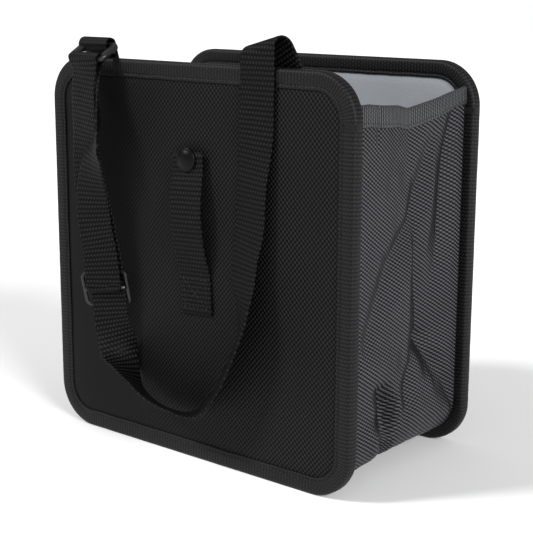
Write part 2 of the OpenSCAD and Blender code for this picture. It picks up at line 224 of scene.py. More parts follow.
def makeWebbing():
    # polypropylene webbing: thick weft ribs crossed by the warp yarns, a dull black with grey lights
    material, tree, surface = startMaterial("webbing", **{"Roughness": 0.55, "Specular IOR Level": 0.1})
    cloth = addNode(tree, "ShaderNodeUVMap", uv_map="cloth").outputs[0]
    axes = addNode(tree, "ShaderNodeSeparateXYZ", {0: cloth})
    ribs = ribHeight(tree, axes.outputs[1], clothes["webRib"])
    yarns = weaveHeight(tree, axes.outputs[0], axes.outputs[1], clothes["webYarn"], clothes["webRib"] * 2)
    height = sharedHeight(tree, (ribs, 0.52), (yarns, 0.48))
    finishCloth(tree, surface, cloth, height, "#000000", "#1d1d1d", (-0.35, 0.9), 0.7, 0.35, 0.3, 40.0)
    return material


def makeThread(name, high):
    # bonded nylon sewing thread, two plies
    material, tree, surface = startMaterial(name, **{"Roughness": 0.5, "Specular IOR Level": 0.2})
    place = addNode(tree, "ShaderNodeTexCoord").outputs["Object"]
    cloud = addNode(tree, "ShaderNodeTexNoise", {"Vector": place, "Scale": 900.0}).outputs[0]
    finishSurface(tree, surface, cloud, "#0a0a0a", high, cloud, 0.3, 0.1)
    return material


def makePlastic(name, low, high, rough, grain):
    # moulded acetal: smooth, half gloss, with a faint moulding grain and rubbed lighter patches
    material, tree, surface = startMaterial(name, **{"Roughness": rough, "IOR": 1.48})
    place = addNode(tree, "ShaderNodeTexCoord").outputs["Object"]
    cloud = addNode(tree, "ShaderNodeTexNoise", {"Vector": place, "Scale": 120.0, "Detail": 3.0}).outputs[0]
    fine = addNode(tree, "ShaderNodeTexNoise", {"Vector": place, "Scale": 2500.0}).outputs[0]
    finishSurface(tree, surface, cloud, low, high, fine, grain, 0.05)
    return material


def makeMetal(name, low, high, rough):
    # lacquered or bare steel pressing
    material, tree, surface = startMaterial(name, **{"Roughness": rough, "Metallic": 0.9})
    place = addNode(tree, "ShaderNodeTexCoord").outputs["Object"]
    cloud = addNode(tree, "ShaderNodeTexNoise", {"Vector": place, "Scale": 260.0, "Detail": 4.0}).outputs[0]
    finishSurface(tree, surface, cloud, low, high, cloud, 0.15, 0.05)
    return material


ballisticNylon = makeBallisticNylon()
oxfordNylon = makeOxfordNylon()
liningFilm = makeLiningFilm()
bindingTape = makeRibbedTape("bindingTape", "#020202", "#1b1b1b", clothes["tapeRib"], 0.55)
hemTape = makeRibbedTape("hemTape", "#0a0a0b", "#545558", clothes["hemRib"], 0.5)
webbing = makeWebbing()
blackThread = makeThread("blackThread", "#262626")
greyThread = makeThread("greyThread", "#48484a")
acetal = makePlastic("mouldedAcetal", "#0b0b0c", "#131314", 0.36, 0.2)
boardFoam = makePlastic("boardFoam", "#1c1c1e", "#242426", 0.7, 0.6)
snapLacquer = makeMetal("snapLacquer", "#111112", "#1b1b1d", 0.42)
washerSteel = makeMetal("washerSteel", "#8d8d8f", "#a5a5a7", 0.4)
print("materials ready")


# meshes
def addPiece(name, verts, faces, material, body=None, uvs=None):
    mesh = bpy.data.meshes.new(name)
    mesh.from_pydata([tuple(v) for v in verts], [], faces)
    if uvs is not None:
        layer = mesh.uv_layers.new(name="cloth")
        for loop in mesh.loops:
            layer.data[loop.index].uv = uvs[loop.vertex_index]
    mesh.materials.append(material)
    mesh.polygons.foreach_set("use_smooth", [True] * len(mesh.polygons))
    mesh.update()
    piece = bpy.data.objects.new(name, mesh)
    bpy.context.collection.objects.link(piece)
    if body:
        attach(piece, body)
    return piece


def gridFaces(rows, columns, closeRows=False, closeColumns=False, flip=False):
    faces = []
    for i in range(rows if closeRows else rows - 1):
        for j in range(columns if closeColumns else columns - 1):
            a, b = i * columns + j, i * columns + (j + 1) % columns
            c, d = (i + 1) % rows * columns + (j + 1) % columns, (i + 1) % rows * columns + j
            faces.append((a, d, c, b) if flip else (a, b, c, d))
    return faces


def smoothStep(t):
    t = min(1.0, max(0.0, t))
    return t * t * (3 - 2 * t)


def wobble(x, y, z=0.0, size=1.0):
    return noise.noise(Vector((x / size, y / size, z / size)))


def fixNormals(piece):
    shape = bmesh.new()
    shape.from_mesh(piece.data)
    bmesh.ops.recalc_face_normals(shape, faces=shape.faces)
    shape.to_mesh(piece.data)
    shape.free()
    piece.data.update()


# stitches, in mm
stitchSizes = dict(pitch=3.0, length=2.3, width=0.62)


def makeStitchTree():
    tree = bpy.data.node_groups.new("stitches", "GeometryNodeTree")
    for name, kind in (("Geometry", "Geometry"), ("Pitch", "Float"), ("Length", "Float"), ("Width", "Float"),
                       ("Thread", "Material")):
        tree.interface.new_socket(name, in_out="INPUT", socket_type="NodeSocket" + kind)
    tree.interface.new_socket("Geometry", in_out="OUTPUT", socket_type="NodeSocketGeometry")
    given = addNode(tree, "NodeGroupInput").outputs
    along = addNode(tree, "GeometryNodeResampleCurve", {"Curve": given["Geometry"], "Length": given["Pitch"]},
                    mode="LENGTH")
    size = addNode(tree, "ShaderNodeCombineXYZ", {0: given["Length"], 1: given["Width"], 2: given["Width"]})
    bead = addNode(tree, "GeometryNodeMeshUVSphere", {"Segments": 6, "Rings": 4, "Radius": 0.5})
    bead = addNode(tree, "GeometryNodeTransform", {"Geometry": bead.outputs[0], "Rotation": (0, math.pi / 2, 0)})
    way = addNode(tree, "GeometryNodeInputTangent")
    turn = addNode(tree, "FunctionNodeAlignRotationToVector", {"Vector": way.outputs[0]}, axis="X")
    laid = addNode(tree, "GeometryNodeInstanceOnPoints", {
        "Points": along.outputs[0], "Instance": bead.outputs[0], "Rotation": turn.outputs[0],
        "Scale": size.outputs[0]})
    real = addNode(tree, "GeometryNodeRealizeInstances", {0: laid.outputs[0]})
    done = addNode(tree, "GeometryNodeSetMaterial", {"Geometry": real.outputs[0], "Material": given["Thread"]})
    addNode(tree, "NodeGroupOutput", {0: done.outputs[0]})
    return tree


stitchTree = makeStitchTree()


def sewRows(name, rows, material, body, closed=False):
    # one mesh of separate stitches along every row of points
    curve = bpy.data.curves.new(name + "Rows", "CURVE")
    curve.dimensions = "3D"
    for row in rows:
        spline = curve.splines.new("POLY")
        spline.points.add(len(row) - 1)
        for point, place in zip(spline.points, row):
            point.co = tuple(place) + (1,)
        spline.use_cyclic_u = closed
    guide = bpy.data.objects.new(name + "Rows", curve)
    bpy.context.collection.objects.link(guide)
    modifier = guide.modifiers.new("stitches", "NODES")
    modifier.node_group = stitchTree
    values = {"Pitch": stitchSizes["pitch"] * mm, "Length": stitchSizes["length"] * mm,
              "Width": stitchSizes["width"] * mm, "Thread": material}
    for socket in stitchTree.interface.items_tree:
        if socket.in_out == "INPUT" and socket.name in values:
            modifier[socket.identifier] = values[socket.name]
    shape = bpy.data.meshes.new_from_object(guide.evaluated_get(bpy.context.evaluated_depsgraph_get()))
    bpy.data.objects.remove(guide)
    piece = bpy.data.objects.new(name, shape)
    bpy.context.collection.objects.link(piece)
    shape.polygons.foreach_set("use_smooth", [True] * len(shape.polygons))
    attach(piece, body)
    return piece


# panels, in mm
low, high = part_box("front_binding")
rearLow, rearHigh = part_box("rear_binding")
panel = dict(
    width=(high[0] - low[0]) / mm, height=(high[2] - low[2]) / mm, corner=28.0,
    frontMiddle=(low[1] + high[1]) / 2 / mm, rearMiddle=(rearLow[1] + rearHigh[1]) / 2 / mm,
    seamInset=8.9, seamOut=4.0, step=3.5, cornerSteps=16, puff=0.6, insidePuff=0.5, clothDepth=0.5,
    sheetInset=1.2, cornerLoss=620,
)


def outlineStations():
    # points round the panel's outer edge in mm, each with its inward normal and its distance along
    w, h, r = panel["width"], panel["height"], panel["corner"]
    corners = [(w / 2 - r, h - r, 0), (-w / 2 + r, h - r, 90), (-w / 2 + r, r, 180), (w / 2 - r, r, 270)]
    found = []
    for k, (cx, cz, start) in enumerate(corners):
        for i in range(panel["cornerSteps"] + 1):
            a = math.radians(start + 90 * i / panel["cornerSteps"])
            found.append((cx + r * math.cos(a), cz + r * math.sin(a), -math.cos(a), -math.sin(a)))
        nx, nz, turn = corners[(k + 1) % 4]
        end = (nx + r * math.cos(math.radians(turn)), nz + r * math.sin(math.radians(turn)))
        x, z, ix, iz = found[-1]
        count = int(math.hypot(end[0] - x, end[1] - z) / panel["step"])
        found += [(x + (end[0] - x) * i / count, z + (end[1] - z) * i / count, ix, iz) for i in range(1, count)]
    path, total = [], 0.0
    for i, (x, z, ix, iz) in enumerate(found):
        if i:
            total += math.hypot(x - found[i - 1][0], z - found[i - 1][1])
        path.append((x, z, ix, iz, total))
    return path


stations = outlineStations()
tapeProfile = [  # distance in from the edge, distance from the panel's middle, both in mm
    (11.0, 3.3), (11.1, 3.75), (10.8, 4.1), (10.2, 4.25), (9.6, 4.2), (9.2, 3.95), (8.9, 3.82), (8.6, 3.95),
    (8.1, 4.3), (6.8, 4.42), (4.5, 4.46), (2.4, 4.4), (1.2, 4.15), (0.45, 3.5), (0.1, 2.4), (0.0, 1.2)
]


def bindPanel(name, middle, seed, body, node):
    outer = tapeProfile + [(0.0, 0.0)] + [(d, -y) for d, y in reversed(tapeProfile)]
    inner = [(10.9, -3.15), (6, -3.15), (1.6, -3.1), (1.3, -2.7), (1.3, 2.7), (1.6, 3.1), (6, 3.15), (10.9, 3.15)]
    profile = outer + inner
    spans = [0.0]
    for i in range(1, len(profile)):
        spans.append(spans[-1] + math.hypot(profile[i][0] - profile[i - 1][0], profile[i][1] - profile[i - 1][1]))
    verts, uvs = [], []
    for x, z, ix, iz, along in stations:
        ripple = 0.35 * wobble(along, seed * 40, 0, 14) + 0.2 * wobble(along, seed * 40, 9, 5)
        lift = 0.22 * wobble(along, seed * 70, 5, 9)
        for (d, y), across in zip(profile, spans):
            inset = d + ripple * (0.35 + 0.65 * (d > 8)) * (abs(y) > 3.2 or d > 8)
            side = y + (lift * (1 if y > 0 else -1) if 4 < d < 10.5 and abs(y) > 3.5 else 0)
            verts.append(((x + ix * inset) * mm, (middle + side) * mm, (z + iz * inset) * mm))
            uvs.append((across * mm, along * mm))
    faces = gridFaces(len(stations), len(profile), True, True)
    piece = addPiece(name, verts, faces, bindingTape, body, uvs)
    fixNormals(piece)
    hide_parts(node)


def seamOfPanel(name, middle, seed, body, node):
    rows = []
    for side in (1, -1):
        row = []
        for x, z, ix, iz, along in stations[::2]:
            inset = panel["seamInset"] + 0.35 * wobble(along, seed * 40, 0, 14)
            row.append(((x + ix * inset) * mm, (middle + side * panel["seamOut"]) * mm, (z + iz * inset) * mm))
        rows.append(row)
    piece = sewRows(name, rows, blackThread, body, closed=True)
    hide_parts(node)


def coverPanel(name, middle, side, seed, material, body, node, puff):
    # cloth over one face of the board, held down by the tape and full in the middle
    insets = [(1.6, 3.0), (7.0, 3.1), (10.0, 3.15), (11.5, 3.25), (13.5, 3.2 + puff * 0.6), (17, 3.2 + puff)]
    loops = []
    for inset, out in insets:
        loops.append([(x + ix * inset, z + iz * inset, out) for x, z, ix, iz, along in stations])
    cx, cz = 0.0, panel["height"] / 2
    for share in (0.94, 0.85, 0.74, 0.62, 0.5, 0.38, 0.26, 0.15, 0.06):
        loops.append([(cx + (x - cx) * share, cz + (z - cz) * share, 3.2 + puff) for x, z, out in loops[5]])
    count = len(stations)
    verts = []
    for k, loop in enumerate(loops):
        for x, z, out in loop:
            full = min(1.0, k / 5)
            swell = full * (0.35 * wobble(x, z, seed * 30, 55) + 0.15 * wobble(x, z, seed * 50, 22))
            verts.append((x, middle + side * (out + swell), z))
    top = len(verts)
    verts.append((cx, middle + side * (3.2 + puff), cz))
    back = [(x, middle + side * (3.0 - panel["clothDepth"]), z) for x, z, out in loops[0]]
    verts += back
    faces = gridFaces(len(loops), count, False, True, flip=side > 0)
    last = (len(loops) - 1) * count
    for j in range(count):
        a, b = last + j, last + (j + 1) % count
        faces.append((a, top, b) if side > 0 else (a, b, top))
        c, d = top + 1 + j, top + 1 + (j + 1) % count
        faces.append((j, (j + 1) % count, d, c) if side > 0 else (j, c, d, (j + 1) % count))
    closing = list(range(top + 1, top + 1 + count))
    faces.append(closing if side > 0 else closing[::-1])
    piece = addPiece(name, [Vector(v) * mm for v in verts], faces, material, body)
    fixNormals(piece)
    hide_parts(node)


front, rear = panel["frontMiddle"], panel["rearMiddle"]
bindPanel("frontTape", front, 1, "front_panel", "front_binding")
bindPanel("rearTape", rear, 2, "rear_panel", "rear_binding")
seamOfPanel("frontTapeStitches", front, 1, "front_panel", "front_binding_thread")
seamOfPanel("rearTapeStitches", rear, 2, "rear_panel", "rear_binding_thread")
for name, middle, side, seed in (("front", front, -1, 3), ("rear", rear, 1, 5)):
    body = name + "_panel"
    coverPanel(name + "Cloth", middle, side, seed, ballisticNylon, body, name + "_fabric",
               panel["puff"])
    coverPanel(name + "Inside", middle, -side, seed + 1, liningFilm, body, name + "_lining",
               panel["insidePuff"])
print("panels ready")


# the soft wall between the panels, in mm
gusset = dict(
    inset=6.0, radius=22.0, top=229.0, start=4.4, end=121.3, columns=74, step=3.0, cloth=0.8, lining=0.6,
    hemOut=0.9, hemShrink=0.16, seamAllowance=12, foldTravel=105, topLift=90, middle=63,
)
# creases of the side wall, down each line: y, height, depth inwards, reach before the line, reach after it
creases = [
    [(62, 232, 3, 30, 30), (64, 200, 3.5, 34, 26), (70, 170, 2, 30, 20)],
    [(70, 168, 0.5, 5, 18), (74, 140, 5, 9, 25), (80, 113, 8, 16, 30), (87, 80, 10.5, 24, 32), (91, 68, 4, 18, 24)],
    [(88, 207, 2.5, 10, 14), (73, 176, 4.4, 11, 16), (65, 158, 4.2, 10, 12), (53, 146, 4.6, 10, 18),
     (42, 135, 3.6, 11, 22), (31, 116, 3, 10, 18), (18, 92, 1.5, 8, 12)],
    [(109, 221, 1.5, 8, 7), (105, 197, 6, 15, 9), (104, 173, 7.5, 17, 11), (102, 142, 7, 17, 13),
     (97, 122, 3.5, 12, 12), (92, 108, 0.8, 8, 8)],
    [(88, 80, 3.5, 14, 8), (99, 62, 5.5, 16, 9), (111, 46, 4, 13, 8), (120, 31, 1, 6, 4)],
    [(73, 78, 0.5, 6, 10), (67, 60, 4, 10, 10), (64, 47, 4, 9, 10), (62, 38, 1.5, 6, 8)],
    [(28, 62, 1, 8, 6), (40, 57, 7, 18, 7), (49, 47, 12, 23, 6), (51, 34, 12, 21, 5), (47, 24, 8, 16, 5),
     (50, 10, 4, 12, 4)],
    [(8, 76, -2, 16, 16), (28, 74, -3.5, 18, 18), (46, 72, -2, 14, 14)],
    [(58, 44, -2, 10, 12), (76, 38, -3.5, 12, 14), (98, 32, -3, 12, 12), (119, 24, -1, 8, 8)],
    [(10, 46, -1, 8, 8), (30, 30, -3, 10, 10), (46, 12, -1, 8, 8)],
    [(26, 232, 1.2, 2.5, 2.5), (27, 205, 0.4, 2.5, 2.5)],
]
# height of the mouth's edge from front to rear
topLine = [(4, 231), (17, 231), (30, 229.5), (50, 228), (61, 225.5), (72, 227), (93, 230.5), (115, 234), (122, 235)]


def creaseAt(y, h, line):
    # inward push of one crease: a bent tent either side of its line, with the values of the nearest point on it
    best, push = 1e9, 0.0
    for (y0, h0, *first), (y1, h1, *last) in zip(line, line[1:]):
        dy, dh = y1 - y0, h1 - h0
        t = max(0.0, min(1.0, ((y - y0) * dy + (h - h0) * dh) / (dy * dy + dh * dh)))
        gap = math.hypot(y - y0 - dy * t, h - h0 - dh * t)
        if gap < best:
            best = gap
            depth, before, after = (p + (q - p) * t for p, q in zip(first, last))
            t = 1 - gap / (after if (h - h0) * dy > (y - y0) * dh else before)
            push = depth * t ** 1.15 if t > 0 else 0.0
    return push


def valueAt(x, points):
    for (x0, v0), (x1, v1) in zip(points, points[1:]):
        if x <= x1:
            return v0 + (v1 - v0) * max(0.0, (x - x0) / (x1 - x0))
    return points[-1][1]


def gussetY(j):
    return gusset["start"] + (gusset["end"] - gusset["start"]) * j / gusset["columns"]


def pinned(y):
    # no push where the cloth is sewn to a panel
    t = (y - gusset["start"]) / (gusset["end"] - gusset["start"])
    return smoothStep(t / 0.07) * smoothStep((1 - t) / 0.07)


def bottomDepth(y, x):
    # under the bag the cloth is drawn up along its middle
    middle = 60 + 3 * wobble(x, 3, 0, 30)
    t = 1 - abs(y - middle) / (44 if y < middle else 52)
    return 7.0 * max(0.0, t) ** 1.2 + 1.2 * wobble(x, y, 8, 26)


def wallPoint(side, y, along):
    # a point of the gusset at distance along from its top right edge, its inward push, and its height or place
    w, inset = panel["width"] / 2, gusset["inset"]
    r = gusset["radius"] + 4 * smoothStep((y - 25) / 90)
    straight = gusset["top"] - inset - r
    arc = r * math.pi / 2
    if along < straight:
        x, z, nx, nz = w - inset, gusset["top"] - along, -1.0, 0.0
    elif along < straight + arc:
        a = (along - straight) / r
        x, z = w - inset - r + r * math.cos(a), inset + r - r * math.sin(a)
        nx, nz = -math.cos(a), math.sin(a)
    else:
        x, z, nx, nz = w - inset - r - (along - straight - arc), inset, 0.0, 1.0
    fold = smoothStep((along - straight - 4) / (arc + 12))
    mirrored = y if side > 0 else 2 * gusset["middle"] - y
    wall = sum(creaseAt(mirrored, gusset["top"] - along, line) for line in creases) if fold < 1 else 0.0
    base = bottomDepth(y, x * side) if fold > 0 else 0.0
    rumple = 0.7 * wobble(mirrored, along, side * 20, 24) + 0.35 * wobble(mirrored, along, side * 9, 9)
    return x, z, nx, nz, (wall * (1 - fold) + base * fold + rumple) * pinned(y)


def halfLength():
    w, r, inset = panel["width"] / 2, gusset["radius"], gusset["inset"]
    return gusset["top"] - inset - r + r * math.pi / 2 + w - inset - r


def gussetGrid(offset):
    # rows run round the bag from the right top edge to the left one, columns from the front panel to the rear
    half = halfLength()
    rowsPerSide = int(half / gusset["step"])
    places = [half * i / rowsPerSide for i in range(rowsPerSide + 1)]
    rows = [(1, s) for s in places] + [(-1, s) for s in reversed(places[:-1])]
    columns = gusset["columns"]
    verts, uvs = [], []
    for k, (side, s) in enumerate(rows):
        for j in range(columns + 1):
            y = gussetY(j)
            x, z, nx, nz, push = wallPoint(side, y, s)
            drop = (valueAt(y, topLine) - 1.2 - gusset["top"]) * max(0.0, 1 - s / gusset["topLift"])
            verts.append((side * (x + nx * (push + offset)) * mm, y * mm, (z + drop + nz * (push + offset)) * mm))
            uvs.append((y * mm, (s if side > 0 else 2 * half - s) * mm))
    return verts, uvs, len(rows), columns + 1


def closedSheet(name, offset, thick, material, body):
    outer, uvs, rows, columns = gussetGrid(offset)
    inner, same, rows, columns = gussetGrid(offset + thick)
    count = len(outer)
    faces = gridFaces(rows, columns)
    faces += [tuple(count + i for i in reversed(f)) for f in gridFaces(rows, columns)]
    edge = list(range(columns)) + [i * columns + columns - 1 for i in range(1, rows)]
    edge += [(rows - 1) * columns + j for j in range(columns - 2, -1, -1)]
    edge += [i * columns for i in range(rows - 2, 0, -1)]
    for a, b in zip(edge, edge[1:] + edge[:1]):
        faces.append((a, count + a, count + b, b))
    piece = addPiece(name, outer + inner, faces, material, body, uvs + same)
    fixNormals(piece)
    return piece


def squashWithPanels(piece):
    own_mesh(piece)


def makeGusset():
    cloth = closedSheet("gussetCloth", 0.0, gusset["cloth"], oxfordNylon, "front_panel")
    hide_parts("gusset")
    inside = closedSheet("gussetInside", gusset["cloth"] + 0.15, gusset["lining"], liningFilm, "front_panel")
    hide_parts("gusset_lining")
    for piece in (cloth, inside):
        squashWithPanels(piece)


def hemScale(y):
    # the hem is a little narrower towards the rear
    return 1 - gusset["hemShrink"] * smoothStep((y - 50) / 70)


def makeHem(side):
    # grosgrain folded over the cloth's top edge
    reach = gusset["cloth"] + gusset["lining"] + 0.15
    out = gusset["hemOut"]
    profile = [  # outwards from the cloth's outer face, height against the top line
        (out * 0.6, -12.6), (out, -12.3), (out * 1.1, -9), (out * 0.8, -3), (out * 0.7, -1.0), (out * 0.2, -0.1),
        (-reach / 2, 0.25), (-reach - out * 0.4, -0.2), (-reach - out, -1.4), (-reach - out, -12.2),
        (-reach - out * 0.4, -12.6), (-reach - 0.15, -12.2), (-reach - 0.15, -2.0), (0.15, -2.0), (0.15, -12.4)
    ]
    spans = [0.0]
    for i in range(1, len(profile)):
        spans.append(spans[-1] + math.hypot(profile[i][0] - profile[i - 1][0], profile[i][1] - profile[i - 1][1]))
    verts, uvs = [], []
    columns = gusset["columns"]
    for j in range(columns + 1):
        y = gussetY(j)
        for (d, h), across in zip(profile, spans):
            z = valueAt(y, topLine) + h * hemScale(y)
            x, base, nx, nz, push = wallPoint(side, y, max(0.0, gusset["top"] - z))
            bulge = 0.25 * wobble(y, z, 3 * side, 6) * (d > 0)
            verts.append((side * (x - push + d + bulge) * mm, y * mm, z * mm))
            uvs.append((across * mm, y * mm))
    faces = gridFaces(columns + 1, len(profile), False, True)
    count = len(profile)
    faces += [tuple(range(count)), tuple(columns * count + i for i in reversed(range(count)))]
    piece = addPiece("hemRight" if side > 0 else "hemLeft", verts, faces, hemTape, "front_panel", uvs)
    fixNormals(piece)
    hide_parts("right_hem" if side > 0 else "left_hem")
    squashWithPanels(piece)


def hemRow(side, drop):
    row = []
    for j in range(1, gusset["columns"]):
        y = gussetY(j)
        z = valueAt(y, topLine) + drop * hemScale(y)
        x, base, nx, nz, push = wallPoint(side, y, max(0.0, gusset["top"] - z))
        row.append((side * (x - push + gusset["hemOut"] + 0.15) * mm, y * mm, z * mm))
    return row


makeGusset()
makeHem(1)
makeHem(-1)
hemStitches = sewRows("hemStitches", [hemRow(1, -10.4), hemRow(-1, -10.4)], greyThread, "front_panel")
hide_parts("hem_thread")
squashWithPanels(hemStitches)
print("gusset ready")


# carry strap and the webbing round its ring and slider, in mm and degrees
strap = dict(
    width=25.0, thick=1.4, edgeDip=0.2, steps=5, axisY=-0.15, axisZ=257.5, tabX=-83.0, tabR=4.3, tabThick=1.3,
    tabShift=0.3, leftX=-78.6, lowY=-14.4, lowZ=250.0, wrap=3.3, sliderAt=(-64.4, -16.4, 103.5), slideKeep=74,
    rimX=54.0, rollR=5.55, rollZ=258.3, slant=15.5, insideLength=52.0,
    legTop=(-78.0, -11.4, 204.0), legEnd=(-62.5, -14.4, 95.0), legTurn=14.0,
)
slider = dict(
    turn=18, halfX=15.6, halfY=10.6, corner=3.2, bend=0.4, rimHalf=1.1, rimThick=0.9, barHalf=1.3, barThick=1.0,
)
# the strap's way from the slider round the loop to the rim:
# x, y, height, turn about its length, drop of its outer edge per unit of width
route = [
    (-65.1, -13.8, 112, 18, 0.2), (-63.8, -14.2, 101, 18, 0.2), (-62.3, -14.5, 90, 18, 0.1),
    (-60.8, -14.7, 82, 19, 0), (-57.5, -14.8, 72, 28, -0.3), (-51, -15.2, 58.5, 55, -0.7),
    (-38, -18.2, 45.5, 86, -0.78),
    (-19, -19.6, 37, 105, -0.54), (3.8, -19.1, 34.9, 116, -0.36), (17.5, -16.9, 39.5, 127, -0.19),
    (27.8, -16.3, 50.7, 128, -0.05), (37, -15.2, 66.2, 128, 0.07), (44.2, -13.4, 84.1, 127, 0.14),
    (47.8, -11.8, 103.6, 140, 0.2), (47.3, -10.9, 121.8, 161, 0.23), (48.1, -8.9, 138, 163, 0.24),
    (50.2, -7.6, 156.5, 170, 0.23), (51.1, -6.8, 181.8, 171, 0.21), (53.5, -6.0, 210, 180, 0.2),
    (54, -5.7, 238, 180, 0.2), (54, -5.7, 250, 180, 0.2)
]
# from the ring's front side down behind the other leg, and from its rear side out in front of it:
# x, y, height, turn
runDown = [
    (-78.3, -16.6, 242, -8), (-79.2, -16.9, 228, -8), (-80.3, -15.6, 211, -8), (-81.5, -13.9, 196, -4),
    (-81.2, -13.2, 182, 4), (-79, -13.3, 168, 11), (-75.5, -13.5, 154, 15), (-71.6, -13.6, 140, 17),
    (-67.6, -13.7, 124, 18)
]
runBack = [
    (-78.5, -11.4, 242, -5), (-73.5, -12.6, 231, -28), (-68.5, -15.0, 219, -46), (-66.6, -17.4, 208, -47),
    (-67.4, -18.8, 199.5, -37), (-69.7, -19.0, 192, -26), (-70.8, -19.0, 185.5, -16), (-71.7, -19.0, 177.6, -7),
    (-71.9, -19.0, 168.8, 2), (-71.2, -19.0, 156.6, 11), (-69.4, -19.0, 142.7, 13), (-66.4, -19.0, 129.8, 15),
    (-64.4, -19.1, 117.5, 18), (-63.6, -19.1, 110, 20), (-63.4, -18.7, 104.6, 20)
]


def splineThrough(points, steps):
    # Catmull-Rom through the points, each a tuple of any length
    found = []
    last = len(points) - 1
    for i in range(last):
        a, b, c, d = points[max(i - 1, 0)], points[i], points[i + 1], points[min(i + 2, last)]
        for k in range(steps):
            t = k / steps
            found.append(tuple(0.5 * (2 * q + (r - p) * t + (2 * p - 5 * q + 4 * r - s) * t * t
                                      + (3 * q - p - 3 * r + s) * t ** 3) for p, q, r, s in zip(a, b, c, d)))
    return found + [tuple(points[last])]


def webFrames(path):
    # middle, width direction and face direction of the webbing at every point
    found = []
    last = len(path) - 1
    for i, (x, y, z, turn, dip) in enumerate(path):
        ahead, behind = Vector(path[min(i + 1, last)][:3]), Vector(path[max(i - 1, 0)][:3])
        way = (ahead - behind).normalized()
        a = math.radians(turn)
        side = Vector((-math.cos(a), -math.sin(a), -dip * abs(math.sin(a))))
        side = (side - way * side.dot(way)).normalized()
        found.append((Vector((x, y, z)), side, side.cross(way).normalized()))
    return found


def sweepWeb(name, frames, body=None, thick=strap["thick"], ruffle=0.0, rolled=()):
    w, t = strap["width"] / 2, thick / 2
    section = [(-w, 0), (-w * 0.985, t * 0.75), (-w * 0.93, t)] + [(w * k / 5, t) for k in range(-4, 5)]
    section += [(w * 0.93, t), (w * 0.985, t * 0.75), (w, 0)]
    section += [(u, -v) for u, v in reversed(section[1:-1])]
    verts, uvs, along = [], [], 0.0
    for i, (middle, side, face) in enumerate(frames):
        if i:
            along += (middle - frames[i - 1][0]).length
        for u, v in section:
            wave = ruffle * wobble(u, along, 4, 8) if ruffle else 0.0
            verts.append((middle + side * u + face * (v + wave)) * mm)
            uvs.append((u * mm, along * mm))
    for k, v in enumerate(rolled):
        along += v - rolled[k - 1] if k else 1.5
        verts += [rolledOver(u, v, out) * mm for u, out in section]
        uvs += [(u * mm, along * mm) for u, out in section]
    count, rows = len(section), len(frames) + len(rolled)
    faces = gridFaces(rows, count, False, True)
    faces += [tuple(range(count)), tuple((rows - 1) * count + i for i in reversed(range(count)))]
    piece = addPiece(name, verts, faces, webbing, body, uvs)
    fixNormals(piece)
    return piece, along


def rolledOver(u, v, out):
    # a flat strip standing at the front, rolled over the rim round a slanting axis, then down inside:
    # u across from its middle, v along from the roll's start, out from the strip's middle plane
    r, slant = strap["rollR"], math.radians(strap["slant"])
    axis, up = Vector((math.cos(slant), 0, math.sin(slant))), Vector((-math.sin(slant), 0, math.cos(slant)))
    along, rise = u * math.cos(slant) + v * math.sin(slant), v * math.cos(slant) - u * math.sin(slant)
    a = max(0.0, min(math.pi, rise / r))
    height = min(rise, 0.0) + r * math.sin(a) - max(0.0, rise - math.pi * r)
    face = Vector((0, -math.cos(a), 0)) + up * math.sin(a)
    base = Vector((strap["rimX"], strap["axisY"], strap["rollZ"]))
    return base + axis * along + up * height + Vector((0, -r * math.cos(a), 0)) + face * out


def overBar(start, end, step, run):
    # round the ring's lower bar, 0 its rear side, 90 its top and 180 its front, then on along the run
    places = []
    for a in range(start, end, step):
        reach, rise = strap["wrap"] * math.cos(math.radians(a)), strap["wrap"] * math.sin(math.radians(a))
        places.append((strap["leftX"], strap["lowY"] + reach, strap["lowZ"] + rise, 0.0))
    return [place + (strap["edgeDip"],) for place in places + run]


def makeStrap():
    path = splineThrough(overBar(80, 200, 25, runDown) + route, strap["steps"])
    frames = webFrames(path)
    rollLow = path[-1][2] - strap["rollZ"]
    steps = [rollLow + 1.5 * k for k in range(1, int((strap["insideLength"] - rollLow) / 1.5))]
    piece, length = sweepWeb("carryStrap", frames, ruffle=0.35, rolled=steps)
    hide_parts("carry_strap", "strap_bend", "right_anchor_tab")
    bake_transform(piece)
    print("carry strap", round(length), "mm")


def tangentAt(frames, i):
    last = len(frames) - 1
    return (frames[min(i + 1, last)][0] - frames[max(i - 1, 0)][0]).normalized()


def squareToWay(frames):
    return [(m, side, side.cross(tangentAt(frames, i)).normalized()) for i, (m, side, face) in enumerate(frames)]


def slideWay():
    return (Vector(strap["legEnd"]) - Vector(strap["legTop"])).normalized()


def legAxes():
    way = slideWay()
    a = math.radians(strap["legTurn"])
    side = Vector((-math.cos(a), -math.sin(a), -strap["edgeDip"] * abs(math.sin(a))))
    side = (side - way * side.dot(way)).normalized()
    return way, side, side.cross(way).normalized()


def makeReturnLeg():
    path = splineThrough(overBar(100, -20, -25, runBack), strap["steps"])
    piece, length = sweepWeb("returnLeg", webFrames(path), "strap", ruffle=0.25)
    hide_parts("return_leg")
    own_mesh(piece)
    print("return leg", round(length), "mm")


def makeSliderLoop():
    # the webbing's end turned round the middle bar
    way, side, out = legAxes()
    middle = Vector(strap["sliderAt"])
    r = slider["barHalf"] + strap["thick"] / 2 + 0.1
    frames = [(middle + out * r - way * d, side, out) for d in (3.0, 1.5)]
    for k in range(13):
        a = math.radians(90 - 22.5 * k)
        frames.append((middle + out * r * math.sin(a) + way * r * math.cos(a), side, out))
    piece, length = sweepWeb("sliderLoop", squareToWay(frames), "slider")
    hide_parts("strap_end_loop")


